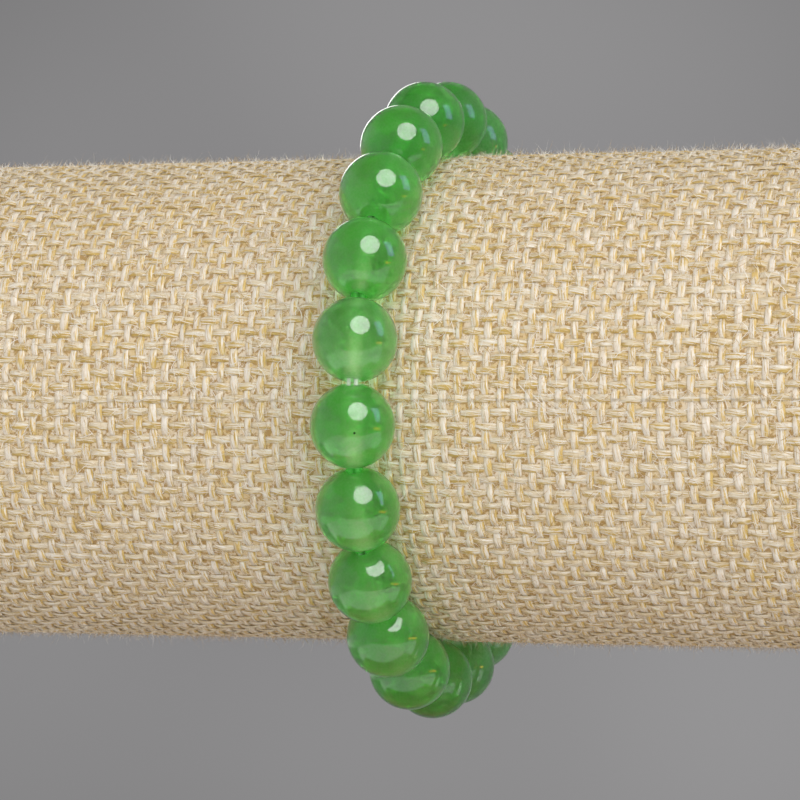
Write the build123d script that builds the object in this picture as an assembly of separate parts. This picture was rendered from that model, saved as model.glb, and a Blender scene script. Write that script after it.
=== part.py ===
from build123d import *
import math
import os

# A stretch bracelet of round green stone beads on a burlap-covered display bar.
# Millimetres. +Z is up, +X runs along the bar and -Y faces the viewer.
# The origin is on the table, straight under the centre of the bracelet.

# The beads and the loop that they make
BEADS = 22
BEAD_DIAMETER = 8.0
HOLE_DIAMETER = 1.2
MOUTH_DIAMETER = 1.5
# Where the two front beads meet, their mouths are worn wider and show the elastic.
WORN_MOUTH_DIAMETER = 2.0
LOOP_RADIUS = 28.22
# The first bead hangs in front, a little above the middle of the bar.
FIRST_BEAD_RAISED = 11.25
# The loop leans: its top is a little further along +X than its bottom.
LOOP_LEAN = 0.78

# The elastic, which goes twice round the loop
STRAND_DIAMETER = 0.4
STRAND_SPACING = 0.7
KNOT_DIAMETER = 1.0
KNOT_LENGTH = 2.6
# The bead whose hole hides the knot, behind the bar
KNOT_BEAD = 12

# The bar and its burlap
AXIS_HEIGHT = 76.0
BAR_LEFT = -58.0
BAR_RIGHT = 62.0
SLEEVE_RADIUS = 24.5
SLEEVE_WALL = 1.4
# The loop presses a shallow groove into the burlap.
GROOVE_WIDTH = 6.4
GROOVE_DEPTH = 0.4
END_DISC_WALL = 1.2
SMALL_GAP = 0.1

# The post and its foot plate
POST_X = 50.0
POST_DIAMETER = 12.0
POST_TOP_BELOW_AXIS = 10.0
FOOT_LEFT = -50.0
FOOT_RIGHT = 60.0
FOOT_DEPTH = 70.0
FOOT_THICKNESS = 6.0
FOOT_CORNER = 8.0
FOOT_EDGE = 1.0

BEAD_RADIUS = BEAD_DIAMETER / 2
HOLE_RADIUS = HOLE_DIAMETER / 2
SLEEVE_BORE = SLEEVE_RADIUS - SLEEVE_WALL
INNER_RADIUS = SLEEVE_BORE - SMALL_GAP
POST_RADIUS = POST_DIAMETER / 2
# The post stands in a blind hole in the bar, up to just short of its flat end.
POST_TOP = AXIS_HEIGHT - POST_TOP_BELOW_AXIS
END_RECESS = END_DISC_WALL + 2 * SMALL_GAP

# The loop's own frame: its centre on the bar's axis, leaning about the Y axis
loop_place = Location((0, 0, AXIS_HEIGHT), (0, LOOP_LEAN, 0))


def bead_turn(number):
    """A bead's angle in degrees, from the front of the loop and downwards."""
    return (number - 1) * 360 / BEADS - FIRST_BEAD_RAISED


def bead_place(number):
    """Where a bead sits on the loop, with its hole along the local Z axis."""
    turn = math.radians(bead_turn(number))
    centre = Vector(0, -math.cos(turn), -math.sin(turn)) * LOOP_RADIUS
    along_loop = Vector(0, math.sin(turn), -math.cos(turn))
    return loop_place * Plane(centre, x_dir=(1, 0, 0), z_dir=along_loop).location


def countersink(mouth_diameter):
    """The cone that opens a bead's hole to a mouth, at the bead's +Z end."""
    mouth_radius = mouth_diameter / 2
    mouth_height = math.sqrt(BEAD_RADIUS**2 - mouth_radius**2)
    sink = mouth_radius - HOLE_RADIUS
    # The cone goes on past the mouth, so that it leaves no skin over the hole.
    cone_height = 3 * sink
    cone = Cone(HOLE_RADIUS, HOLE_RADIUS + cone_height, cone_height,
                align=(Align.CENTER, Align.CENTER, Align.MIN))
    return Pos(0, 0, mouth_height - sink) * cone


def drilled_bead(first_mouth, last_mouth):
    """A round bead with a straight hole whose two mouths are countersunk."""
    bead = Sphere(BEAD_RADIUS) - Cylinder(HOLE_RADIUS, 2.5 * BEAD_RADIUS)
    return bead - Rot(180, 0, 0) * countersink(first_mouth) - countersink(last_mouth)


def elastic_cord():
    """Two rounds of elastic side by side, whose four ends meet in the knot."""
    # A round strand through straight holes runs midway between the two
    # radii at which a hole's axis passes its middle and its mouths.
    mouth_reach = math.hypot(LOOP_RADIUS, BEAD_RADIUS)
    strand_loop = (LOOP_RADIUS + mouth_reach) / 2
    # Each strand begins and ends inside the knot, half this angle from its middle.
    open_angle = math.degrees(KNOT_LENGTH / strand_loop) / 2
    start = Rot(bead_turn(KNOT_BEAD) + 180 + open_angle / 2, 0, 0)
    cord = bead_place(KNOT_BEAD) * Cylinder(KNOT_DIAMETER / 2, KNOT_LENGTH)
    for side in (-1, 1):
        section = Pos(side * STRAND_SPACING / 2, strand_loop, 0) * Circle(STRAND_DIAMETER / 2)
        cord += loop_place * revolve(start * section, Axis.X, 360 - open_angle)
    return cord


def along_bar(shape):
    """Lays a shape that was made along the Z axis onto the bar's axis."""
    return Pos(0, 0, AXIS_HEIGHT) * Rot(0, 90, 0) * shape


def burlap_sleeve():
    """The cloth tube, with the groove under the loop and the post's hole."""
    half = GROOVE_WIDTH / 2
    bottom = SLEEVE_RADIUS - GROOVE_DEPTH
    outer = [
        Line((SLEEVE_BORE, BAR_LEFT), (SLEEVE_RADIUS, BAR_LEFT)),
        Line((SLEEVE_RADIUS, BAR_LEFT), (SLEEVE_RADIUS, -half)),
        ThreePointArc((SLEEVE_RADIUS, -half), (bottom, 0), (SLEEVE_RADIUS, half)),
        Line((SLEEVE_RADIUS, half), (SLEEVE_RADIUS, BAR_RIGHT)),
        Line((SLEEVE_RADIUS, BAR_RIGHT), (SLEEVE_BORE, BAR_RIGHT)),
        Line((SLEEVE_BORE, BAR_RIGHT), (SLEEVE_BORE, BAR_LEFT)),
    ]
    profile = Plane.XZ * make_face(outer)
    tube = along_bar(revolve(profile, Axis.Z))
    return tube - post_room(0, AXIS_HEIGHT)


def post_room(low, high):
    """The round hole for the post, from one height to another."""
    room = Cylinder(POST_RADIUS + SMALL_GAP, high - low,
                    align=(Align.CENTER, Align.CENTER, Align.MIN))
    return Pos(POST_X, 0, low) * room


def bar_core():
    """The round bar inside the burlap, with a blind hole for the post."""
    length = BAR_RIGHT - BAR_LEFT - 2 * END_RECESS
    core = Cylinder(INNER_RADIUS, length)
    middle = (BAR_LEFT + BAR_RIGHT) / 2
    bar = along_bar(Pos(0, 0, middle) * core)
    return bar - post_room(0, POST_TOP + SMALL_GAP)


def burlap_end(bar_end, inward):
    """The disc of burlap on one end of the bar, just inside the sleeve's edge."""
    disc = Cylinder(INNER_RADIUS, END_DISC_WALL)
    middle = bar_end + inward * (SMALL_GAP + END_DISC_WALL / 2)
    return along_bar(Pos(0, 0, middle) * disc)


def stand_post():
    """The foot plate and the post, one plain piece."""
    length = FOOT_RIGHT - FOOT_LEFT
    plate = Box(length, FOOT_DEPTH, FOOT_THICKNESS,
                align=(Align.CENTER, Align.CENTER, Align.MIN))
    plate = fillet(plate.edges().filter_by(Axis.Z), FOOT_CORNER)
    plate = fillet(plate.faces().sort_by(Axis.Z)[-1].edges(), FOOT_EDGE)
    post = Cylinder(POST_RADIUS, POST_TOP,
                    align=(Align.CENTER, Align.CENTER, Align.MIN))
    return Pos((FOOT_LEFT + FOOT_RIGHT) / 2, 0, 0) * plate + Pos(POST_X, 0, 0) * post


def all_parts():
    """Every node's name and its solid."""
    parts = {}
    for number in range(1, BEADS + 1):
        first_mouth = WORN_MOUTH_DIAMETER if number == 2 else MOUTH_DIAMETER
        last_mouth = WORN_MOUTH_DIAMETER if number == 1 else MOUTH_DIAMETER
        bead = drilled_bead(first_mouth, last_mouth)
        parts[f"bead_{number:02d}"] = bead_place(number) * bead
    parts["elastic_cord"] = elastic_cord()
    parts["burlap_sleeve"] = burlap_sleeve()
    parts["burlap_end_left"] = burlap_end(BAR_LEFT, 1)
    parts["burlap_end_right"] = burlap_end(BAR_RIGHT, -1)
    parts["bar_core"] = bar_core()
    parts["stand_post"] = stand_post()
    return parts


os.makedirs("parts", exist_ok=True)
for node, solid in all_parts().items():
    export_step(solid, f"parts/{node}.step")

bead_spacing = 2 * LOOP_RADIUS * math.sin(math.pi / BEADS)
print(f"Loop length through the beads: {2 * math.pi * LOOP_RADIUS:.1f} mm")
print(f"Gap between two beads: {bead_spacing - BEAD_DIAMETER:.3f} mm")
print(f"Room inside the loop: {2 * (LOOP_RADIUS - BEAD_RADIUS):.2f} mm across")
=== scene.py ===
# %% [markdown]
# A stretch bracelet of green stone beads on a burlap-covered display bar
#
# The solids come in finished: twenty-two drilled beads, the elastic, the bar and its
# stand. This file dresses them. The beads, the elastic and the stand keep their solids
# and get a stone, a rubber and a wood. The burlap is made anew as woven yarns, because
# a bump can't give the holes, the shadows and the ragged edge of a coarse cloth.

# %% Load the solids
import bmesh
import bpy
import math
import numpy as np
from collections import namedtuple
from mathutils import Matrix, Vector


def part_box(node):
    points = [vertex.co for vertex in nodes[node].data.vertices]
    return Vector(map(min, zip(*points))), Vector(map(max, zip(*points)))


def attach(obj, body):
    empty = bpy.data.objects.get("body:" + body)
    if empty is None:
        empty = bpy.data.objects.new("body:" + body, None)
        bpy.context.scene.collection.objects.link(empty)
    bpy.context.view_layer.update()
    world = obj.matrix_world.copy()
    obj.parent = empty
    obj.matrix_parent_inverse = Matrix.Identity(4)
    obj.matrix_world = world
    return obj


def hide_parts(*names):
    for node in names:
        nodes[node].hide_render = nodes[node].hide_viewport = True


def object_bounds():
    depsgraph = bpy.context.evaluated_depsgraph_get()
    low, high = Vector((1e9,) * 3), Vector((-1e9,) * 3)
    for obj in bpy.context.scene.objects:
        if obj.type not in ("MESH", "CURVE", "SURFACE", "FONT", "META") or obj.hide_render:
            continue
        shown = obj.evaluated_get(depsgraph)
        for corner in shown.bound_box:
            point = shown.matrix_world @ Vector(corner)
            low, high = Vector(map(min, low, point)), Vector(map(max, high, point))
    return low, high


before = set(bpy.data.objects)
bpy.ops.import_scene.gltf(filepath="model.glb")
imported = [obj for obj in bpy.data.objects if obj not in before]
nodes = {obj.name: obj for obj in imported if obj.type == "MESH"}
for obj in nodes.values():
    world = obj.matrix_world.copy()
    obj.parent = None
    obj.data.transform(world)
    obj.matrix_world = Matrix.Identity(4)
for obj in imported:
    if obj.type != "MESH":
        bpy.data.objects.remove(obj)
solid_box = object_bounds()
MM = 0.001
box_in_mm = [[round(c / MM, 1) for c in corner] for corner in solid_box]
print("Solids:", len(nodes), "in a box, in mm, from and to", box_in_mm)

# %% [markdown]
# The camera
#
# Nine beads and the two edges of the bar fix where the photograph was taken from: level
# with the bar, a third of a metre away and right of the bracelet, with a long lens.
# A camera could be aimed by a constraint. Its three axes are written out instead, so
# that its small tilt to the side is exact.

# %% Place the camera
BAR_AXIS = (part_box("bar_core")[0].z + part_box("bar_core")[1].z) / 2
CAMERA_AZIMUTH = math.radians(17.54)
CAMERA_DISTANCE = 336.8 * MM
CAMERA_TARGET = Vector((-4.28 * MM, 0, BAR_AXIS - 0.11 * MM))
CAMERA_ROLL = math.radians(-0.1)
CAMERA_LENS = 149.3
SENSOR_WIDTH = 36

view_back = Vector((math.sin(CAMERA_AZIMUTH), -math.cos(CAMERA_AZIMUTH), 0))
level_right = Vector((math.cos(CAMERA_AZIMUTH), math.sin(CAMERA_AZIMUTH), 0))
view_up = Vector((0, 0, 1))
camera_right = level_right * math.cos(CAMERA_ROLL) + view_up * math.sin(CAMERA_ROLL)
camera_up = view_up * math.cos(CAMERA_ROLL) - level_right * math.sin(CAMERA_ROLL)

camera = bpy.data.objects.new("camera", bpy.data.cameras.new("camera"))
camera.data.lens = CAMERA_LENS
camera.data.sensor_width = SENSOR_WIDTH
turned = Matrix((camera_right, camera_up, view_back)).transposed().to_4x4()
camera.matrix_world = Matrix.Translation(CAMERA_TARGET + view_back * CAMERA_DISTANCE) @ turned
camera.data.clip_start = 10 * MM
bpy.context.scene.collection.objects.link(camera)
bpy.context.scene.camera = camera
bpy.context.scene.view_settings.view_transform = "Standard"
print("Camera at, in mm:", [round(c / MM, 1) for c in camera.matrix_world.translation])

# %% [markdown]
# Writing a finish as arithmetic
#
# A finish is a few nodes that feed one shader. Wired one by one they take a page, so
# Tone wraps a socket and lets a plus sign add the Math node. Numbers go through Math
# nodes, and colours and vectors through Mix and Vector Math, which keep all three parts.

# %% Tones
WITH_THREE_PARTS = {"VECTOR", "RGBA", "tuple"}


class Tone:
    """A number, colour or vector that changes over a surface: one output socket."""

    def __init__(self, finish, socket):
        self.finish = finish
        self.socket = socket

    def _math(self, operation, first, second):
        kinds = {t.socket.type if isinstance(t, Tone) else type(t).__name__ for t in (first, second)}
        kind = "ShaderNodeVectorMath" if kinds & WITH_THREE_PARTS else "ShaderNodeMath"
        return self.finish.node(kind, {"operation": operation}, {0: first, 1: second})

    def __add__(self, other):
        return self._math("ADD", self, other)

    def __radd__(self, other):
        return self._math("ADD", other, self)

    def __sub__(self, other):
        return self._math("SUBTRACT", self, other)

    def __rsub__(self, other):
        return self._math("SUBTRACT", other, self)

    def __mul__(self, other):
        return self._math("MULTIPLY", self, other)

    def __rmul__(self, other):
        return self._math("MULTIPLY", other, self)

    def __pow__(self, other):
        return self._math("POWER", self, other)

    def __rpow__(self, other):
        return self._math("POWER", other, self)


# %% [markdown]
# One method for every node
#
# Whatever isn't arithmetic, such as a noise or a shader, comes from node(): first its
# settings, then its sockets. The short methods under it name what the finishes below
# ask for again and again: a place, one of its parts, a distance, a noise, a soft step.

# %% Finishes
class Finish:
    """A material, or a world, whose nodes all come from one method."""

    def __init__(self, name, owner=None):
        self.name = name
        self.owner = owner or bpy.data.materials.new(name)
        self.owner.use_nodes = True
        self.tree = self.owner.node_tree
        self.tree.nodes.clear()

    def node(self, kind, settings=None, sockets=None, output=0):
        """Adds a node. Its settings come first, then its sockets by name or number."""
        made = self.tree.nodes.new(kind)
        for name, value in (settings or {}).items():
            setattr(made, name, value)
        for name, value in (sockets or {}).items():
            if isinstance(value, Tone):
                self.tree.links.new(value.socket, made.inputs[name])
            else:
                made.inputs[name].default_value = value
        return Tone(self, made.outputs[output]) if made.outputs else None

    def place(self):
        """Where a point lies in the shared frame, in metres."""
        return self.node("ShaderNodeTexCoord", output="Object")

    def part(self, vector, axis):
        """The X, Y or Z of a vector."""
        return self.node("ShaderNodeSeparateXYZ", None, {"Vector": vector}, output=axis)

    def distance(self, place, point):
        sockets = {0: place, 1: tuple(point)}
        return self.node("ShaderNodeVectorMath", {"operation": "DISTANCE"}, sockets, output="Value")

    def length(self, vector):
        return self.node("ShaderNodeVectorMath", {"operation": "LENGTH"}, {0: vector}, output="Value")

    def noise(self, place, scale=1.0, detail=2.0, roughness=0.5, distortion=0.0):
        """A cloudy number around 0.5, finer as the scale grows."""
        shape = {"Scale": scale, "Detail": detail, "Roughness": roughness, "Distortion": distortion}
        return self.node("ShaderNodeTexNoise", None, {"Vector": place, **shape})

    def ease(self, value, low, high):
        """A soft step: 0 below low and 1 above high."""
        sockets = {"Value": value, "From Min": low, "From Max": high}
        return self.node("ShaderNodeMapRange", {"interpolation_type": "SMOOTHSTEP"}, sockets)

    def mix(self, share, first, second):
        """Goes from the first colour to the second as the share goes from 0 to 1."""
        sockets = {0: share, 6: self._opaque(first), 7: self._opaque(second)}
        return self.node("ShaderNodeMix", {"data_type": "RGBA"}, sockets, output=2)

    def _opaque(self, colour):
        return colour if isinstance(colour, Tone) else (*colour, 1)

    def bump(self, height, strength, distance):
        """A relief of this distance at its highest, without moving the mesh."""
        sockets = {"Strength": strength, "Distance": distance, "Height": height}
        return self.node("ShaderNodeBump", None, sockets)

    def surface(self, shader, volume=None, output="ShaderNodeOutputMaterial"):
        """Sends the shader to the surface, and the inside's to the volume."""
        sockets = {"Surface": shader}
        if volume:
            sockets["Volume"] = volume
        self.node(output, None, sockets)
        print("Finish", self.name, "has", len(self.tree.nodes), "nodes")
        return self.owner


# %% [markdown]
# Finding the beads' holes
#
# All the beads hang on one ring that leans a little along the bar. The stone and the
# elastic have to know where on that ring a point lies: in a bead, at the join of two
# beads, or near the thread. Each bead could have a finish of its own. It is simpler to
# work it out from the point's place, because then one finish serves every bead: a wave
# over the angle round the ring is 1 in each bead's middle and -1 at each join.

# %% Places round the loop
FIRST_BEAD_ANGLE = math.radians(11.25)
LOOP_LEAN = math.tan(math.radians(0.78))
LOOP_RADIUS = 28.22 * MM
bead_names = sorted(n for n in nodes if n.startswith("bead_"))


def middle_of(node):
    low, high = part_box(node)
    return (low + high) / 2


def front_of(node, right, up):
    """The point of a bead that the camera sees at this share of its radius."""
    low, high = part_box(node)
    radius = (high.x - low.x) / 2
    back = math.sqrt(1 - right**2 - up**2)
    return middle_of(node) + (camera_right * right + camera_up * up + view_back * back) * radius


def round_the_loop(finish, place):
    """A whole turn for each bead, starting in the middle of the first bead."""
    forward = finish.part(place, "Y") * -1
    upward = finish.part(place, "Z") - BAR_AXIS
    angle = finish.node("ShaderNodeMath", {"operation": "ARCTAN2"}, {0: upward, 1: forward})
    return (angle - FIRST_BEAD_ANGLE) * len(bead_names)


def wave_of(finish, phase, operation):
    return finish.node("ShaderNodeMath", {"operation": operation}, {0: phase})


def from_thread(finish, place):
    """How far a point is from the line that runs through all the holes."""
    from_bar_axis = finish.length((place - (0.0, 0.0, BAR_AXIS)) * (0.0, 1.0, 1.0))
    lean = (finish.part(place, "Z") - BAR_AXIS) * LOOP_LEAN
    sideways = finish.part(place, "X") - lean
    return ((from_bar_axis - LOOP_RADIUS) ** 2 + sideways**2) ** 0.5


OPEN_JOIN = (middle_of("bead_01") + middle_of("bead_02")) / 2
OPEN_JOIN_REACH = (1.2 * MM, 1.7 * MM)


def from_open_join(finish, place):
    """0 at the open join of the two front beads, and 1 anywhere else."""
    return finish.ease(finish.distance(place, OPEN_JOIN), *OPEN_JOIN_REACH)


print("Beads:", len(bead_names), "on a thread, in mm, of", round(2 * math.pi * LOOP_RADIUS / MM, 1))

# %% [markdown]
# The drilled hole
#
# A drill leaves the hole's wall matt and chalky, and through the stone it shows as a
# paler column. The wall is painted paler low in each bead, a painted glow where the
# light gathers, and darker high on the loop, a painted shade where the light comes
# along the hole and the column is clear. The mouths get a painted dark green shade, as
# little light reaches them, and a faint painted green glow, but the two open mouths of
# the front beads are worn wide and almost white. A bright cylinder inside each bead
# would give the column too, but it would hide the elastic. So the wall of the real hole
# gets the chalk.

# %% The hole's wall and mouths
SHADED_HOLE_TOP = (0.27, 0.47, 0.2)
LIT_HOLE_CHALK = (0.66, 0.5, 0.46)
SHADED_HOLE_HIGH_UP = (0.05, 0.22, 0.04)
MOUTH_SHADE_GREEN = (0.06, 0.33, 0.05)
WORN_MOUTH = (0.75, 0.85, 0.7)
MOUTH_GLOW = (0.028, 0.155, 0.022)
DARK = (0.0, 0.0, 0.0)
CHALK_FADES = (0.75 * MM, 0.95 * MM)
MOUTH_TO_WALL = (-0.9, -0.75)
PAINTED_SHADE_HEIGHTS = (2 * MM, 21 * MM)


def drilled_hole(finish, place):
    """Where the wall and mouths of a bead's hole are, and their colours with painted light."""
    phase = round_the_loop(finish, place)
    near_thread = 1 - finish.ease(from_thread(finish, place), *CHALK_FADES)
    wall = near_thread * finish.ease(wave_of(finish, phase, "COSINE"), *MOUTH_TO_WALL)
    mouth = near_thread - wall

    # Painted glow and shade: the wall is paler low in each bead and darker high on the loop.
    painted_glow_low = finish.ease(wave_of(finish, phase, "SINE") * -1, -1.0, 1.0)
    painted_shade_high = finish.ease(finish.part(place, "Z") - BAR_AXIS, *PAINTED_SHADE_HEIGHTS)
    wall_chalk_and_painted_light = finish.mix(painted_glow_low, SHADED_HOLE_TOP, LIT_HOLE_CHALK)
    wall_chalk_and_painted_light = finish.mix(painted_shade_high, wall_chalk_and_painted_light, SHADED_HOLE_HIGH_UP)
    # Painted shade: the mouths are dark green, but the two worn open mouths at the front are almost
    # white.
    mouth_wear_and_shade = finish.mix(from_open_join(finish, place), WORN_MOUTH, MOUTH_SHADE_GREEN)
    return wall, mouth, wall_chalk_and_painted_light, mouth_wear_and_shade


def mouth_glow(finish, mouth):
    """A painted glow: emission for the green light that the stone round a mouth throws into it."""
    return finish.mix(mouth, DARK, MOUTH_GLOW)


print("The chalk fades into the stone, in mm from the thread, by", CHALK_FADES[1] / MM)

# %% [markdown]
# The stone
#
# The beads are dyed chalcedony: clear enough to bend the light of the burlap behind
# them, cloudy enough to blur it. So the shader is a rough glass with a green that
# deepens with the way through the stone, part of it replaced by a milky body, under a
# polished coat. Bent light puts the pale rims where they belong from all sides. The
# paler glow low in each bead is partly painted light: the hole's wall is painted paler
# low in each bead. Stones differ too: the first bead is paler and the second has one
# dark speck. The milk is darker towards the back of the loop, which is painted shade.

# %% Stone colours
STONE_MILK = (0.12, 0.57, 0.08)
SHADED_REAR_MILK = (0.07, 0.39, 0.055)
PALE_MILK = (0.22, 0.56, 0.16)
SPECK = (0.01, 0.02, 0.01)
STONE_DEPTH = {"Color": (0.28, 0.82, 0.18, 1), "Density": 226.0}
POLISH = {
    "Coat Weight": 1.0,
    "Coat Roughness": 0.02,
    "Coat IOR": 1.54,
    "IOR": 1.54,
    "Specular IOR Level": 0.0,
}
CLOUD_STRETCH = (220.0, 220.0, 420.0)
GRAIN_SCALE = 4500.0
SPECK_PLACE = front_of("bead_02", 0.058, -0.155)
SPECK_EDGE = (0.06 * MM, 0.16 * MM)
PALE_BEAD_EDGE = (3.95 * MM, 4.1 * MM)
FRONT_TO_BACK = (-18 * MM, 8 * MM)
print("The dark speck is at, in mm:", [round(c / MM, 1) for c in SPECK_PLACE])


# %% Green stone
def clear_stone(finish):
    """The glassy share of the stone, which is the same all over a bead."""
    return finish.node("ShaderNodeBsdfPrincipled", None, {
        "Base Color": (0.93, 1.0, 0.93, 1),
        "Specular Tint": (0.05, 0.06, 0.05, 1),
        "Roughness": 0.46,
        "Transmission Weight": 1.0,
        **POLISH,
    })


def milky_stone(finish, colour, glow):
    """The cloudy share of the stone, in which light spreads, most of all the green, with a painted glow
    in the mouths.
    """
    return finish.node("ShaderNodeBsdfPrincipled", None, {
        "Base Color": colour,
        "Roughness": 0.35,
        "Emission Color": glow,
        "Emission Strength": 1.0,
        "Subsurface Weight": 1.0,
        "Subsurface Radius": (0.5, 1.0, 0.55),
        "Subsurface Scale": 1.5 * MM,
        **POLISH,
    })


def stone_finish():
    finish = Finish("green_stone")
    place = finish.place()
    wall, mouth, wall_chalk_and_painted_light, mouth_wear_and_shade = drilled_hole(finish, place)
    speck = 1 - finish.ease(finish.distance(place, SPECK_PLACE), *SPECK_EDGE)
    pale_bead = 1 - finish.ease(finish.distance(place, middle_of("bead_01")), *PALE_BEAD_EDGE)
    painted_shade_to_back = finish.ease(finish.part(place, "Y"), *FRONT_TO_BACK)

    # Painted shade: the milk is darker towards the back of the loop.
    colour = finish.mix(painted_shade_to_back, STONE_MILK, SHADED_REAR_MILK)
    colour = finish.mix(pale_bead, colour, PALE_MILK)
    colour = finish.mix(speck, colour, SPECK)
    colour = finish.mix(wall, colour, wall_chalk_and_painted_light)
    colour = finish.mix(mouth, colour, mouth_wear_and_shade)

    cloud = finish.noise(place * CLOUD_STRETCH, distortion=1.5)
    veil = finish.ease(cloud, 0.4, 0.66)
    grain = finish.noise(place, GRAIN_SCALE, detail=0.0)
    milkiness = 0.175 + veil * 0.16 + (grain - 0.5) * 0.35 + pale_bead * 0.05
    milkiness = milkiness + speck + wall + mouth

    clear = clear_stone(finish)
    milky = milky_stone(finish, colour, mouth_glow(finish, mouth))
    body = finish.node("ShaderNodeMixShader", None, {0: milkiness, 1: clear, 2: milky})
    depth = finish.node("ShaderNodeVolumeAbsorption", None, STONE_DEPTH)
    return finish.surface(body, depth)


def dress(names, material):
    """Gives solids that keep their shape their finish."""
    for name in names:
        for slot in nodes[name].material_slots:
            slot.material = material


dress(bead_names, stone_finish())

# %% [markdown]
# The elastic
#
# Two rounds of clear white elastic run through the beads. Between two beads it gets a
# painted dark green shade and a faint painted green glow, for the light that comes to it
# through the stone, except where the mouths of the two front beads are worn and open.
# Glass would be closer to what it is made of, but so thin a glass between two glassy
# beads is mostly noise. A pale body with faint streaks shows the same.

# %% Elastic
ELASTIC_PALE = (0.93, 0.96, 0.92)
ELASTIC_STREAK = (0.8, 0.84, 0.78)
STREAK_SCALE = 1500.0
AT_A_JOIN = (-0.96, -0.85)


def elastic_finish():
    finish = Finish("clear_elastic")
    place = finish.place()
    streaks = finish.noise(place, STREAK_SCALE)
    wave = wave_of(finish, round_the_loop(finish, place), "COSINE")
    at_join = 1 - finish.ease(wave, *AT_A_JOIN)
    # Painted shade and glow: between two beads the elastic is dark green and glows faintly green, except
    # at the open join.
    green_shade_at_join = at_join * from_open_join(finish, place)
    white = finish.mix(streaks, ELASTIC_PALE, ELASTIC_STREAK)
    shader = finish.node("ShaderNodeBsdfPrincipled", None, {
        "Base Color": finish.mix(green_shade_at_join, white, MOUTH_SHADE_GREEN),
        "Emission Color": mouth_glow(finish, green_shade_at_join),
        "Emission Strength": 1.0,
        "Roughness": 0.2 + streaks * 0.2,
        "IOR": 1.5,
    })
    return finish.surface(shader)


dress(["elastic_cord"], elastic_finish())

# %% [markdown]
# The wood
#
# The stand is outside the photograph, so it is a plain pale wood with a satin lacquer.
# The foot is a board whose grain runs along it, and the post is a turned dowel, whose
# grain runs up. Two finishes would do, but the two are one solid. So one finish serves
# both: above the board, the stretch of the pattern turns from one direction to the
# other.

# %% Pale wood
BOARD_TO_POST = (6.1 * MM, 6.3 * MM)
PALE_WOOD = (0.56, 0.39, 0.23)
DARK_WOOD = (0.40, 0.25, 0.13)
PORE = (0.25, 0.14, 0.07)
ALONG_THE_BOARD = (14.0, 150.0, 150.0)
TO_UP_THE_POST = (136.0, 0.0, -136.0)
RING_SCALE = 5.0
PORES_FINER = (6.0, 6.0, 6.0)


def wood_finish():
    finish = Finish("pale_wood")
    place = finish.place()
    is_post = finish.ease(finish.part(place, "Z"), *BOARD_TO_POST)
    stretched = place * (ALONG_THE_BOARD + is_post * TO_UP_THE_POST)
    rings = finish.noise(stretched, RING_SCALE, detail=4.0, distortion=0.7)
    pores = finish.noise(stretched * PORES_FINER, RING_SCALE)
    colour = finish.mix(finish.ease(rings, 0.38, 0.66), PALE_WOOD, DARK_WOOD)
    colour = finish.mix(finish.ease(pores, 0.52, 0.72) * 0.4, colour, PORE)
    shader = finish.node("ShaderNodeBsdfPrincipled", None, {
        "Base Color": colour,
        "Roughness": 0.36 + pores * 0.2,
        "Normal": finish.bump(pores, 0.2, 0.08 * MM),
    })
    return finish.surface(shader)


dress(["stand_post", "bar_core"], wood_finish())

# %% [markdown]
# The burlap's ground rules
#
# Burlap is a plain weave of jute. Pale hoop yarns run round the bar, and tan long yarns
# run along it, each over one and under the next. The yarns, the fuzz and the cloth
# under them are all laid out flat, as two distances over the cloth and a height above
# its middle. A lay function then puts that flat cloth where it belongs: one wraps it
# round the bar, over the bar's edges and down into the press of the beads, and another
# lays it on an end of the bar. Modifiers could bend a flat cloth too, but a function
# gives each point its exact place, just outside the bar.

# %% Measures of the bar
sleeve_low, sleeve_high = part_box("burlap_sleeve")
BAR_LEFT, BAR_RIGHT = sleeve_low.x, sleeve_high.x
BAR_MIDDLE = (BAR_LEFT + BAR_RIGHT) / 2
SLEEVE_RADIUS = (sleeve_high.z - sleeve_low.z) / 2
WEAVE_DEPTH = 0.27 * MM
WEAVE_RADIUS = SLEEVE_RADIUS - WEAVE_DEPTH
EDGE_ROUND = 1.2 * MM
QUARTER_TURN = math.pi / 2
STRAIGHT = (BAR_RIGHT - BAR_LEFT) / 2 - EDGE_ROUND - WEAVE_DEPTH
CLOTH_REACH = STRAIGHT + EDGE_ROUND * QUARTER_TURN + 0.1 * MM
END_RADIUS = 22.75 * MM
GROOVE_DEPTH = 0.38 * MM
GROOVE_REACH = 1.9 * MM
POST_X = 50 * MM
POST_HOLE = 6.4 * MM
print("Weave radius in mm:", round(WEAVE_RADIUS / MM, 2))


# %% Laying the cloth
def wrap_round_bar(along, around, height):
    """The front of the bar is at 0 around, and distances round it grow upwards."""
    angle = around / WEAVE_RADIUS
    past = np.maximum(np.abs(along) - STRAIGHT, 0)
    bend = np.minimum(past / EDGE_ROUND, QUARTER_TURN)
    inward = np.maximum(past - EDGE_ROUND * QUARTER_TURN, 0)
    over_edge = np.sign(along) * (STRAIGHT + (EDGE_ROUND + height) * np.sin(bend))
    x = BAR_MIDDLE + np.where(past > 0, over_edge, along)
    radius = WEAVE_RADIUS - EDGE_ROUND + (EDGE_ROUND + height) * np.cos(bend) - inward
    loop_line = LOOP_LEAN * WEAVE_RADIUS * np.sin(angle)
    radius = radius - GROOVE_DEPTH * np.exp(-(((x - loop_line) / GROOVE_REACH) ** 2))
    return np.stack([x, -radius * np.cos(angle), BAR_AXIS + radius * np.sin(angle)], -1)


def clear_of_post(points):
    near_post = np.hypot(points[:, 0] - POST_X, points[:, 1]) < POST_HOLE
    return ~(near_post & (points[:, 2] < BAR_AXIS))


def lay_on_end(end, outward):
    def lay(along, around, height):
        x = end - outward * WEAVE_DEPTH + outward * height
        return np.stack([x, -outward * along, BAR_AXIS + around], -1)
    return lay


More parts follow.
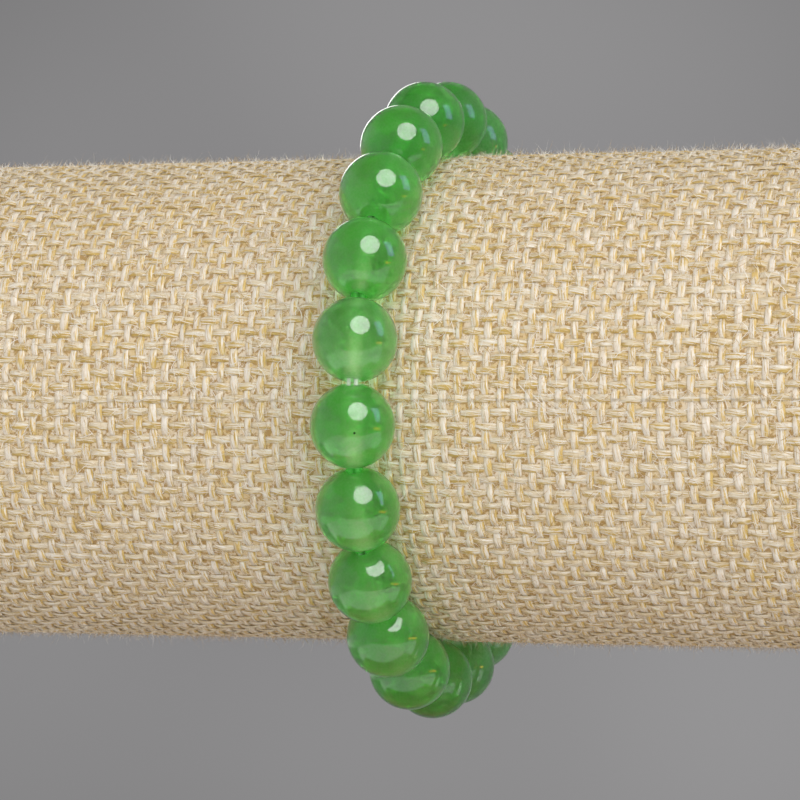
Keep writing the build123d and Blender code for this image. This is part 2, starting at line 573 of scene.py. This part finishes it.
def inside_rim(points):
    return np.hypot(points[:, 1], points[:, 2] - BAR_AXIS) < END_RADIUS


def anywhere(points):
    return np.ones(len(points), bool)


to_bar = (wrap_round_bar, clear_of_post)
ends = {"left": (BAR_LEFT, -1), "right": (BAR_RIGHT, 1)}

# %% [markdown]
# Meshes from arrays
#
# Ten thousand crossings are too many for one object each, so numpy works out all the
# points of a set of yarns at once, and they go into one mesh. Each point can keep marks
# for the finish, such as its place in its own yarn, along which the fibres are drawn.

# %% Mesh helper
def cloth_mesh(name, points, faces, keep, **marks):
    """One mesh of four-sided faces, without those whose points aren't all kept."""
    faces = faces[keep(points)[faces].all(1)]
    mesh = bpy.data.meshes.new(name)
    mesh.vertices.add(len(points))
    mesh.vertices.foreach_set("co", points.astype(np.float32).ravel())
    mesh.loops.add(faces.size)
    mesh.loops.foreach_set("vertex_index", faces.astype(np.int32).ravel())
    mesh.polygons.add(len(faces))
    mesh.polygons.foreach_set("loop_start", np.arange(0, faces.size, 4, dtype=np.int32))
    mesh.update(calc_edges=True)
    mesh.polygons.foreach_set("use_smooth", np.ones(len(faces), bool))
    for mark, values in marks.items():
        kind, field = ("FLOAT_VECTOR", "vector") if values.ndim == 2 else ("FLOAT", "value")
        mesh.attributes.new(mark, kind, "POINT")
        mesh.attributes[mark].data.foreach_set(field, values.astype(np.float32).ravel())
    drop_loose_points(mesh)
    piece = bpy.data.objects.new(name, mesh)
    bpy.context.scene.collection.objects.link(piece)
    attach(piece, "root")
    print(name, "has", len(faces) * 2, "triangles")
    return piece


def drop_loose_points(mesh):
    work = bmesh.new()
    work.from_mesh(mesh)
    loose = [v for v in work.verts if not v.link_faces]
    bmesh.ops.delete(work, geom=loose, context="VERTS")
    work.to_mesh(mesh)
    work.free()


# %% [markdown]
# The yarns
#
# A yarn is a strip over the upper side of a flat oval, because its under side never
# shows. Its middle rises over one crossing yarn and dips under the next. Real jute is
# uneven, so every yarn drifts sideways, swells and thins by seeded random steps, one
# for each crossing, joined smoothly. Curves with a bevel would be quicker to write, but
# they can't swell and flatten at each crossing.

# %% Yarn sizes
ROWS_ROUND_BAR = 118
HOOP_PITCH = 1.39 * MM
LONG_PITCH = 2 * math.pi * WEAVE_RADIUS / ROWS_ROUND_BAR
Yarn = namedtuple("Yarn", "pitch crossing_pitch width thickness rise sway swell over runs_round")
HOOP = Yarn(
    pitch=HOOP_PITCH,
    crossing_pitch=LONG_PITCH,
    width=0.72 * MM,
    thickness=0.22 * MM,
    rise=0.12 * MM,
    sway=0.17 * MM,
    swell=0.19,
    over=0,
    runs_round=True,
)
LONG = Yarn(
    pitch=LONG_PITCH,
    crossing_pitch=HOOP_PITCH,
    width=0.76 * MM,
    thickness=0.24 * MM,
    rise=0.10 * MM,
    sway=0.15 * MM,
    swell=0.19,
    over=1,
    runs_round=False,
)
print("Yarns apart, in mm:", round(HOOP_PITCH / MM, 2), "along and", round(LONG_PITCH / MM, 2), "round")

# %% Uneven yarns
STEPS = 4
OWN_PULL, NEIGHBOUR_PULL = 0.5, 0.35
FLATTENED = 0.35
rng = np.random.default_rng(20)


def drift(yarns, crossings, closed):
    """A random number from about -1 to 1 at each step along each yarn."""
    knots = rng.uniform(-1, 1, (yarns, crossings))
    beside = np.roll(knots, 1, 1) + np.roll(knots, -1, 1)
    knots = knots * OWN_PULL + beside * NEIGHBOUR_PULL
    following = np.roll(knots, -1, 1)
    if not closed:
        following[:, -1] = knots[:, -1]
    share = np.arange(STEPS) / STEPS
    blend = (1 - np.cos(share * math.pi)) / 2
    steps = knots[:, :, None] * (1 - blend) + following[:, :, None] * blend
    return steps.reshape(yarns, -1)


def crimp(phase):
    """The height of a yarn's middle, from -1 to 1: a wave with flattened tops."""
    wave = np.cos(phase)
    return wave * (1 + FLATTENED - FLATTENED * wave**2)


print("Steps along a yarn from one crossing to the next:", STEPS)


# %% A set of yarns
ACROSS = np.radians([-100, -40, 40, 100])
WHOLE_YARN_SWELL = 0.15
WHOLE_YARN_TONE = 1.5
PRESSED_WIDER = 0.07
PATTERN_SHIFT = 7.3
BURIED = -0.8


def strip_faces(yarns, steps, closed):
    """Quads of one strip for each yarn, with its points in order along and across."""
    width = len(ACROSS)
    along = np.arange(steps if closed else steps - 1)
    across = np.arange(width - 1)
    here = along[:, None] * width + across
    there = ((along[:, None] + 1) % steps) * width + across
    quads = np.stack([here, here + 1, there + 1, there], -1).reshape(-1, 4)
    return (np.arange(yarns)[:, None, None] * steps * width + quads).reshape(-1, 4)


def weave(name, yarn, numbers, crossings, lay, keep, closed=False):
    """All the yarns of one direction, each crossing the numbered yarns of the other."""
    count = len(numbers)
    steps = len(crossings) * STEPS
    before_first = 0 if closed else 0.5
    along_yarn = crossings[0] + np.arange(steps) / STEPS - before_first
    phase = math.pi * (along_yarn[None, :] + numbers[:, None] + yarn.over)
    sway = drift(count, len(crossings), closed) * yarn.sway
    swell = 1 + drift(count, len(crossings), closed) * yarn.swell
    swell = swell + rng.uniform(-WHOLE_YARN_SWELL, WHOLE_YARN_SWELL, (count, 1))
    tone = drift(count, len(crossings), closed)
    tone = tone + rng.uniform(-WHOLE_YARN_TONE, WHOLE_YARN_TONE, (count, 1))

    width = yarn.width * swell * (1 + PRESSED_WIDER * np.cos(phase))
    middle = numbers[:, None] * yarn.pitch + sway
    side = middle[..., None] + width[..., None] / 2 * np.sin(ACROSS)
    run = np.broadcast_to((along_yarn * yarn.crossing_pitch)[None, :, None], side.shape)
    height = yarn.rise * crimp(phase)[..., None] + yarn.thickness / 2 * np.cos(ACROSS)
    flat = (side, run) if yarn.runs_round else (run, side)
    points = lay(*flat, height).reshape(-1, 3)

    faces = strip_faces(count, steps, closed)
    buried = np.repeat(crimp(phase).ravel() < BURIED, len(ACROSS))
    faces = faces[~buried[faces].all(1)]
    place = np.broadcast_arrays(run / MM, np.sin(ACROSS), numbers[:, None, None] * PATTERN_SHIFT)
    yarn_place = np.stack(place, -1).reshape(-1, 3)
    tone = np.broadcast_to(tone[..., None], side.shape).reshape(-1)
    return cloth_mesh(name, points, faces, keep, yarn_place=yarn_place, tone=tone)


# %% Weave the sleeve
last_hoop = math.floor(CLOTH_REACH / HOOP_PITCH)
hoops = np.arange(-last_hoop, last_hoop + 1)
rows = np.arange(ROWS_ROUND_BAR)
middle_hoop, middle_row = len(hoops) // 2, len(rows) // 2
hoop_sets = [
    weave("burlap_hoop_yarns_left", HOOP, hoops[:middle_hoop], rows, *to_bar, closed=True),
    weave("burlap_hoop_yarns_right", HOOP, hoops[middle_hoop:], rows, *to_bar, closed=True),
]
long_sets = [
    weave("burlap_long_yarns_upper", LONG, rows[:middle_row], hoops, *to_bar),
    weave("burlap_long_yarns_lower", LONG, rows[middle_row:], hoops, *to_bar),
]

# %% [markdown]
# The ends of the bar
#
# From the side the bar shows its two ends, which the photograph cuts off. On such a bar
# they are closed with round patches of the same burlap. The same weave is laid flat on
# each end and kept only inside the rim, so the patches match the sleeve yarn for yarn.

# %% Weave the ends
end_hoops = np.arange(-17, 18)
end_rows = np.arange(-18, 19)
upright_yarns, level_yarns = {}, {}
for side, (end, outward) in ends.items():
    to_end = (lay_on_end(end, outward), inside_rim)
    name = f"burlap_end_{side}"
    upright_yarns[side] = weave(f"{name}_upright_yarns", HOOP, end_hoops, end_rows, *to_end)
    level_yarns[side] = weave(f"{name}_level_yarns", LONG, end_rows, end_hoops, *to_end)

# %% [markdown]
# Jute
#
# Jute fibres are pale and silky, with golden and brown ones among them, and they run
# along the yarn with a slow twist. Real strands would need millions of points. So the
# finish stretches a noise along the yarn and slants it. Each yarn keeps a tone of its
# own, and one side of it is more golden. Both its edges get a painted shade, in the
# brown of its darker fibres.

# %% Jute finishes
SILKY_FIBRE = (0.93, 0.885, 0.79)
Jute = namedtuple("Jute", "name pale gold shade golden_side")
HOOP_JUTE = Jute(
    name="pale_jute",
    pale=(0.87, 0.78, 0.64),
    gold=(0.72, 0.50, 0.11),
    shade=(0.5, 0.32, 0.04),
    golden_side=1,
)
LONG_JUTE = Jute(
    name="tan_jute",
    pale=(0.78, 0.67, 0.465),
    gold=(0.60, 0.40, 0.055),
    shade=(0.40, 0.24, 0.025),
    golden_side=-1,
)
PATCH_STRETCH = (0.5, 1.3, 1.0)
STRAND_STRETCH = (0.65, 4.2, 3.0)
TWIST = (0.0, 1.2, 0.0)


def jute_finish(jute):
    finish = Finish(jute.name)
    place = finish.node("ShaderNodeAttribute", {"attribute_name": "yarn_place"}, output="Vector")
    tone = finish.node("ShaderNodeAttribute", {"attribute_name": "tone"}, output="Fac")
    side = finish.part(place, "Y")
    patches = finish.noise(place * PATCH_STRETCH, detail=1.0)
    twisted = place * STRAND_STRETCH + finish.part(place, "X") * TWIST
    strands = finish.noise(twisted, detail=3.0, roughness=0.6)

    golden = patches + tone * 0.05 + (strands - 0.5) * 0.6 + side * jute.golden_side * 0.2
    brown_strands = finish.ease(strands, 0.55, 0.66) * 0.8
    silky = 1 - finish.ease(strands, 0.4, 0.48)
    # Painted shade: both edges of each yarn are darker.
    painted_edge_shade = finish.ease(side * side, 0.5, 0.97) * 0.5
    colour = finish.mix(finish.ease(golden, 0.5, 0.66) * 0.9, jute.pale, jute.gold)
    colour = finish.mix(brown_strands, colour, jute.shade)
    colour = finish.mix(silky, colour, SILKY_FIBRE)
    colour = finish.mix(painted_edge_shade, colour, jute.shade)
    shader = finish.node("ShaderNodeBsdfPrincipled", None, {
        "Base Color": colour,
        "Roughness": 0.35 + strands * 0.35,
        "Sheen Weight": 0.2,
        "Normal": finish.bump(strands, 1.0, 0.1 * MM),
    })
    return finish.surface(shader)


def dress_pieces(pieces, material):
    """Gives new pieces their finish."""
    for piece in pieces:
        piece.data.materials.append(material)


dress_pieces([*hoop_sets, *upright_yarns.values()], jute_finish(HOOP_JUTE))
dress_pieces([*long_sets, *level_yarns.values()], jute_finish(LONG_JUTE))

# %% [markdown]
# The cloth under the yarns
#
# Between the yarns the real cloth shows no dark holes but a felt of loose fibres over
# the bar, almost as pale as the yarns and mottled golden brown. Thousands of flattened
# fibres would give it. One plain sheet, just under the middle of the weave, is enough.

# %% Felt under the yarns
GROUND_HEIGHT = -0.03 * MM


def grid_faces(rows_count, columns):
    """Quads between the points of a grid, whose columns close into a ring."""
    row = np.arange(rows_count - 1)[:, None] * columns
    column = np.arange(columns)
    following = (column + 1) % columns
    corners = [row + column, row + following, row + columns + following, row + columns + column]
    return np.stack(corners, -1).reshape(-1, 4)


def felt(name, along, around, lay, keep):
    points = lay(along, around, np.full(along.shape, GROUND_HEIGHT)).reshape(-1, 3)
    return cloth_mesh(name, points, grid_faces(*along.shape), keep)


turn_steps = np.linspace(0, 2 * math.pi, 160, endpoint=False)
bar_steps = np.linspace(-CLOTH_REACH, CLOTH_REACH, 90)
tube_along, tube_turn = np.meshgrid(bar_steps, turn_steps, indexing="ij")
ground = felt("burlap_ground", tube_along, tube_turn * WEAVE_RADIUS, *to_bar)

radius_steps = np.linspace(0.01 * MM, END_RADIUS, 12)
disc_radius, disc_turn = np.meshgrid(radius_steps, turn_steps[::2], indexing="ij")
flat_disc = (disc_radius * np.cos(disc_turn), disc_radius * np.sin(disc_turn))
disc_grounds = {
    side: felt(f"burlap_end_{side}_ground", *flat_disc, lay_on_end(end, outward), anywhere)
    for side, (end, outward) in ends.items()
}

# %% Felt finish
PALE_FELT = (0.78, 0.68, 0.53)
GOLDEN_FELT = (0.70, 0.54, 0.28)
FELT_PIT = (0.40, 0.24, 0.06)
PIT_SCALE = 2400.0
PATCH_SCALE = 500.0


def felt_finish():
    finish = Finish("jute_felt")
    place = finish.place()
    grain = finish.noise(place, PIT_SCALE)
    cloud = finish.noise(place, PATCH_SCALE, detail=1.0)
    colour = finish.mix(finish.ease(cloud, 0.35, 0.65), PALE_FELT, GOLDEN_FELT)
    colour = finish.mix(finish.ease(grain, 0.46, 0.6) * 0.9, colour, FELT_PIT)
    shader = finish.node("ShaderNodeBsdfPrincipled", None, {
        "Base Color": colour,
        "Roughness": 0.7 + grain * 0.3,
        "Normal": finish.bump(grain, 0.6, 0.1 * MM),
    })
    return finish.surface(shader)


dress_pieces([ground, *disc_grounds.values()], felt_finish())

# %% [markdown]
# Fuzz
#
# Jute sheds. Long loose fibres lie across the yarns, and short fine hairs stand up all
# over the cloth. From the front they hardly show, but along the bar's outline they add
# up to a pale haze. Both are ribbons: a fibre that is thinner than a pixel needs no
# round section, and hair curves would double the points for nothing.

# %% Kinds of fibre
Fibre = namedtuple("Fibre", "length width lift stand wander points_each")
LYING = Fibre(
    length=1.7 * MM,
    width=0.05 * MM,
    lift=0.26 * MM,
    stand=0.45 * MM,
    wander=0.7,
    points_each=5,
)
SHORT = Fibre(
    length=0.65 * MM,
    width=0.045 * MM,
    lift=0.27 * MM,
    stand=0.7 * MM,
    wander=1.2,
    points_each=2,
)
TALL = Fibre(
    length=2.1 * MM,
    width=0.018 * MM,
    lift=0.2 * MM,
    stand=1.6 * MM,
    wander=1.2,
    points_each=5,
)
for fibre in (LYING, SHORT, TALL):
    print("A fibre of", round(fibre.length / MM, 2), "mm stands up to", round(fibre.stand / MM, 2), "mm")


# %% Fibres
def fibres(name, count, area, lay, keep, fibre):
    """Curling ribbons that start at random places within the area of the flat cloth."""
    start_along = rng.uniform(-area[0], area[0], count)
    start_around = rng.uniform(-area[1], area[1], count)
    heading = rng.choice([0, math.pi / 2], count) + rng.normal(0, fibre.wander / 2, count)
    curl = rng.normal(0, fibre.wander, count)
    stretch = rng.uniform(0.4, 1.3, count)
    foot = fibre.lift * rng.uniform(0.5, 1, count)
    reach = fibre.stand * rng.uniform(0, 1, count) ** 2
    thickness = fibre.width * rng.uniform(0.6, 1.3, count)
    tone = rng.uniform(0, 1, count)

    share = np.linspace(0, 1, fibre.points_each)
    turn = heading[:, None] + curl[:, None] * share
    step = (fibre.length * stretch / (fibre.points_each - 1))[:, None]
    along = start_along[:, None] + np.cumsum(np.cos(turn) * step, 1)
    around = start_around[:, None] + np.cumsum(np.sin(turn) * step, 1)
    height = foot[:, None] + reach[:, None] * share**1.3
    half = thickness[:, None] / 2 * (1 - 0.8 * share**3)

    both = np.array([-1, 1])
    flat_along = along[..., None] - (np.sin(turn) * half)[..., None] * both
    flat_around = around[..., None] + (np.cos(turn) * half)[..., None] * both
    flat_height = np.broadcast_to(height[..., None], flat_along.shape)
    points = lay(flat_along, flat_around, flat_height).reshape(-1, 3)
    here = np.arange(fibre.points_each - 1) * 2
    quads = np.stack([here, here + 1, here + 3, here + 2], -1)
    points_in_one = fibre.points_each * 2
    faces = (np.arange(count)[:, None, None] * points_in_one + quads).reshape(-1, 4)
    return cloth_mesh(name, points, faces, keep, tone=np.repeat(tone, points_in_one))


bar_area = (CLOTH_REACH - 2 * MM, math.pi * WEAVE_RADIUS)
fuzz_sets = [
    fibres("burlap_fuzz", 21000, bar_area, *to_bar, LYING),
    fibres("burlap_short_hairs", 95000, bar_area, *to_bar, SHORT),
    fibres("burlap_tall_hairs", 13000, bar_area, *to_bar, TALL),
]
end_area = (END_RADIUS, END_RADIUS)
end_hairs = {}
for side, (end, outward) in ends.items():
    to_end = (lay_on_end(end, outward), inside_rim)
    end_hairs[side] = fibres(f"burlap_end_{side}_hairs", 7000, end_area, *to_end, SHORT)

# %% Fibre finish
PALE_FIBRE = (0.95, 0.92, 0.85)
BROWN_FIBRE = (0.52, 0.34, 0.09)


def fibre_finish():
    finish = Finish("loose_fibres")
    tone = finish.node("ShaderNodeAttribute", {"attribute_name": "tone"}, output="Fac")
    shader = finish.node("ShaderNodeBsdfPrincipled", None, {
        "Base Color": finish.mix(finish.ease(tone, 0.45, 0.75), PALE_FIBRE, BROWN_FIBRE),
        "Roughness": 0.4 + tone * 0.3,
    })
    return finish.surface(shader)


dress_pieces([*fuzz_sets, *end_hairs.values()], fibre_finish())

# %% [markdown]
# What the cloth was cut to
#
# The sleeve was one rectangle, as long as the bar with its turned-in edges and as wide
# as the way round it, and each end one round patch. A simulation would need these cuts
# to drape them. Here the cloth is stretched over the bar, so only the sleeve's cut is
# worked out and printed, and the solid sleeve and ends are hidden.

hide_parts("burlap_sleeve")
sleeve_cut = (2 * CLOTH_REACH, 2 * math.pi * WEAVE_RADIUS)
for side in ends:
    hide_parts(f"burlap_end_{side}")
print("Sleeve cut in mm:", [round(c / MM) for c in sleeve_cut])

# %% [markdown]
# The studio
#
# The photograph has a plain grey backdrop, a little brighter in some places than in
# others. A curved sheet behind the object would do from the front. Here a wide bowl
# round the object glows in that grey, so that every view has the same background, and
# a pale round table lies in it and fades out into it. The bowl only shows: the even
# light comes through it from the world outside.

# %% Bowl and table
TABLE_FADES_FROM = 0.13
TABLE_EDGE = 0.26


def round_mesh(name, radii, heights, around=96):
    """A surface turned round the Z axis, from its middle outwards."""
    points = [(0, 0, heights[0])]
    for radius, height in zip(radii[1:], heights[1:]):
        for k in range(around):
            turn = 2 * math.pi * k / around
            points.append((radius * math.cos(turn), radius * math.sin(turn), height))
    faces = [(0, 1 + k, 1 + (k + 1) % around) for k in range(around)]
    for ring_number in range(len(radii) - 2):
        first = 1 + ring_number * around
        second = first + around
        for k in range(around):
            following = (k + 1) % around
            faces.append((first + k, second + k, second + following, first + following))
    mesh = bpy.data.meshes.new(name)
    mesh.from_pydata(points, [], faces)
    mesh.polygons.foreach_set("use_smooth", [True] * len(faces))
    made = bpy.data.objects.new(name, mesh)
    bpy.context.scene.collection.objects.link(made)
    return made


def bowl():
    flat, rise, wall = 0.6, 0.9, 1.2
    turns = np.linspace(0, QUARTER_TURN, 16)[1:]
    radii = [0.0, 0.3, flat] + [flat + rise * math.sin(t) for t in turns] + [flat + rise]
    heights = [-0.5 * MM] * 3 + [rise * (1 - math.cos(t)) for t in turns] + [rise + wall]
    made = round_mesh("backdrop", radii, heights)
    made.visible_diffuse = False
    made.visible_shadow = False
    return made


# %% Grey backdrop
PHOTO_SIZE = 800
HALF_VIEW = SENSOR_WIDTH / 2 / CAMERA_LENS
TAKEN_FROM = camera.matrix_world.translation
GREY_LEVEL = 0.2
GREY_TINT = (1.0, 0.985, 1.0)
PAPER = (0.8, 0.79, 0.8, 1)
# Each pool of light: how far right and down it is and how far it reaches, in pixels,
# and how much brighter its middle is.
POOLS = [
    (410, 40, 500, 0.075),
    (760, 690, 600, 0.1),
    (60, 620, 560, 0.055),
    (780, 120, 420, 0.04),
    (20, 160, 230, 0.03),
    (330, 790, 260, 0.022),
]


def pool(finish, toward, across, down, reach):
    """A soft pool of light that stands behind this pixel of the photograph."""
    right = (across / PHOTO_SIZE - 0.5) * 2 * HALF_VIEW
    up = (0.5 - down / PHOTO_SIZE) * 2 * HALF_VIEW
    spot = (camera_right * right + camera_up * up - view_back).normalized()
    return 1 - finish.ease(finish.distance(toward, spot), 0.0, reach / PHOTO_SIZE * 2 * HALF_VIEW)


def backdrop_finish():
    finish = Finish("grey_backdrop")
    sight_line = finish.place() - tuple(TAKEN_FROM)
    toward = finish.node("ShaderNodeVectorMath", {"operation": "NORMALIZE"}, {0: sight_line})
    level = GREY_LEVEL
    for across, down, reach, brighter in POOLS:
        level = level + pool(finish, toward, across, down, reach) * brighter
    return finish.surface(finish.node("ShaderNodeEmission", None, {"Color": level * GREY_TINT}))


def table_finish():
    finish = Finish("pale_table")
    edge = finish.ease(finish.length(finish.place()), TABLE_FADES_FROM, TABLE_EDGE)
    paper = finish.node("ShaderNodeBsdfDiffuse", None, {"Color": PAPER})
    clear = finish.node("ShaderNodeBsdfTransparent")
    return finish.surface(finish.node("ShaderNodeMixShader", None, {0: edge, 1: paper, 2: clear}))


dress_pieces([bowl()], backdrop_finish())
table = round_mesh("table", [0.0, 0.1, 0.2, TABLE_EDGE + 0.01], [0.0] * 4)
table.visible_glossy = False
dress_pieces([table], table_finish())

# %% [markdown]
# The light
#
# The bead's polish shows what stood in the studio: a large round lamp above the camera,
# a dim blue window and a warm strip to the right, a long pale panel to the left, the
# pale table below, and a small bright card behind. A photograph squeezes bright tones,
# so no one lamp can both light the cloth and shine in the stone as it does there. So a
# soft front light and the world do the lighting, and each thing that shows in the
# polish is only reflected.

# %% Lamps
LOOP_CENTRE = Vector((0, 0, BAR_AXIS))
WHITE = (1.0, 1.0, 1.0)


def lamp(name, direction, distance, size, radiance, colour, round_lamp=False):
    """An area lamp at a direction given as right, up and towards the camera."""
    right, up, back = direction
    toward = (level_right * right + view_up * up + view_back * back).normalized()
    data = bpy.data.lights.new(name, "AREA")
    data.shape = "DISK" if round_lamp else "RECTANGLE"
    data.size, data.size_y = size
    area = math.pi / 4 * size[0] ** 2 if round_lamp else size[0] * size[1]
    data.energy = radiance * math.pi * area
    data.color = colour
    made = bpy.data.objects.new(name, data)
    made.location = LOOP_CENTRE + toward * distance
    made.rotation_euler = (-toward).to_track_quat("-Z", "Y").to_matrix().to_euler()
    made.visible_camera = False
    made.visible_transmission = False
    bpy.context.scene.collection.objects.link(made)
    return made


def reflected_lamp(name, **settings):
    """This lamp shows in polished stone but lights nothing."""
    made = lamp(name, **settings)
    made.visible_diffuse = False
    return made


def table_card(name, right, forward, size, radiance):
    """A glow that lies on the table and faces up."""
    made = reflected_lamp(
        name,
        direction=(0, 0, 1),
        distance=0.1,
        size=size,
        radiance=radiance,
        colour=WHITE,
    )
    made.location = level_right * right + view_back * forward + Vector((0, 0, 1 * MM))
    made.rotation_euler = (math.pi, 0, CAMERA_AZIMUTH)
    return made


soft_front = lamp(
    "soft_front",
    direction=(0.3, 0.27, 0.91),
    distance=0.9,
    size=(0.8, 0.8),
    radiance=1.33,
    colour=(1.0, 0.97, 0.955),
)
key_inside = reflected_lamp(
    "key_inside",
    direction=(0.03, 0.7, 0.71),
    distance=0.9,
    size=(0.94, 0.94),
    radiance=8.5,
    colour=WHITE,
    round_lamp=True,
)
for made in (soft_front, key_inside):
    made.visible_glossy = False
    made.visible_transmission = True
reflected_lamp(
    "rim_card",
    direction=(-0.2, 0.26, -0.94),
    distance=0.9,
    size=(0.3, 0.3),
    radiance=2.5,
    colour=WHITE,
)
table_card("table_glow", right=0.08, forward=0.075, size=(0.44, 0.17), radiance=1.25)
table_card("left_table_glow", right=-0.52, forward=0.05, size=(0.76, 0.9), radiance=0.45)
print("Lamps:", len(bpy.data.lights))

# %% [markdown]
# What the polish mirrors
#
# A lamp's outline can be read off a bead: a ball mirrors a known direction at each point
# of its face. So these sheets are placed by the points at which a bead shows their
# corners, given as right and up in shares of the bead's radius. Moving area lamps about
# until their reflections fit would take many tries and never give their outlines.

# %% Sheets that shine in the beads
def mirrored_from(right, up):
    """The direction that the polish mirrors at this point of a bead's face."""
    back = math.sqrt(1 - right**2 - up**2)
    return (level_right * right + view_up * up + view_back * back) * (2 * back) - view_back


def shine(name, corners, distance, radiance, colour, mottle=0.0):
    """A glowing sheet that a bead shows between these points of its face."""
    points = [LOOP_CENTRE + mirrored_from(*corner) * distance for corner in corners]
    mesh = bpy.data.meshes.new(name)
    mesh.from_pydata(points, [], [tuple(range(len(points)))])
    finish = Finish(name)
    patches = finish.noise(finish.place(), 22.0, detail=1.0)
    glow = (patches * mottle + (1 - mottle / 2)) * colour
    shader = finish.node("ShaderNodeEmission", None, {"Color": glow, "Strength": radiance})
    mesh.materials.append(finish.surface(shader))
    made = bpy.data.objects.new(name, mesh)
    made.visible_camera = False
    made.visible_diffuse = False
    made.visible_transmission = False
    made.visible_shadow = False
    bpy.context.scene.collection.objects.link(made)


KEY_MIDDLE = (0.118, 0.33)
KEY_REACH = (0.222, 0.208)
KEY_OUTLINE = [
    (KEY_MIDDLE[0] + KEY_REACH[0] * math.cos(t), KEY_MIDDLE[1] + KEY_REACH[1] * math.sin(t))
    for t in np.linspace(0, 2 * math.pi, 24, endpoint=False)
]
PANEL_OUTLINE = [
    (-0.66, 0.58), (-0.47, 0.33), (-0.24, 0.13),
    (-0.3, -0.24), (-0.9, -0.24), (-0.9, 0.28),
]
WINDOW_OUTLINE = [(0.41, 0.40), (0.55, 0.42), (0.68, 0.07), (0.53, 0.09)]
STRIP_OUTLINE = [(0.47, -0.04), (0.70, -0.05), (0.70, -0.1), (0.47, -0.08)]
shine("key", KEY_OUTLINE, distance=0.9, radiance=8.0, colour=(1.0, 0.95, 1.0), mottle=0.6)
shine("left_panel", PANEL_OUTLINE, distance=0.7, radiance=0.6, colour=(0.95, 0.95, 1.0))
shine("blue_window", WINDOW_OUTLINE, distance=0.8, radiance=3.4, colour=(0.46, 0.56, 1.0))
shine("warm_strip", STRIP_OUTLINE, distance=0.5, radiance=5.0, colour=(1.0, 0.52, 0.05))

# %% [markdown]
# The light from all round
#
# A white room scatters some light on everything. A flat world colour would light the
# back as brightly as the front. Here the world is dimmer behind the object and on its
# left, so that the cloth has a bright and a shaded side and the stone isn't lit from
# behind more than in the photograph.

# %% World
WORLD_TINT = (0.92, 0.9, 0.88)
DIMMEST, BRIGHTEST = 0.25, 1.15
BRIGHT_SIDE = (view_back * 0.6 + level_right * 0.8).normalized()


def studio_world():
    world = bpy.data.worlds.new("world")
    bpy.context.scene.world = world
    finish = Finish("world", owner=world)
    toward = finish.node("ShaderNodeTexCoord", output="Generated")
    sides = {0: toward, 1: tuple(BRIGHT_SIDE)}
    frontness = finish.node("ShaderNodeVectorMath", {"operation": "DOT_PRODUCT"}, sides, output="Value")
    level = DIMMEST + finish.ease(frontness, -1.0, 0.7) * (BRIGHTEST - DIMMEST)
    light = finish.node("ShaderNodeBackground", None, {"Color": level * WORLD_TINT})
    finish.surface(light, output="ShaderNodeOutputWorld")
    world.cycles_visibility.glossy = False


studio_world()
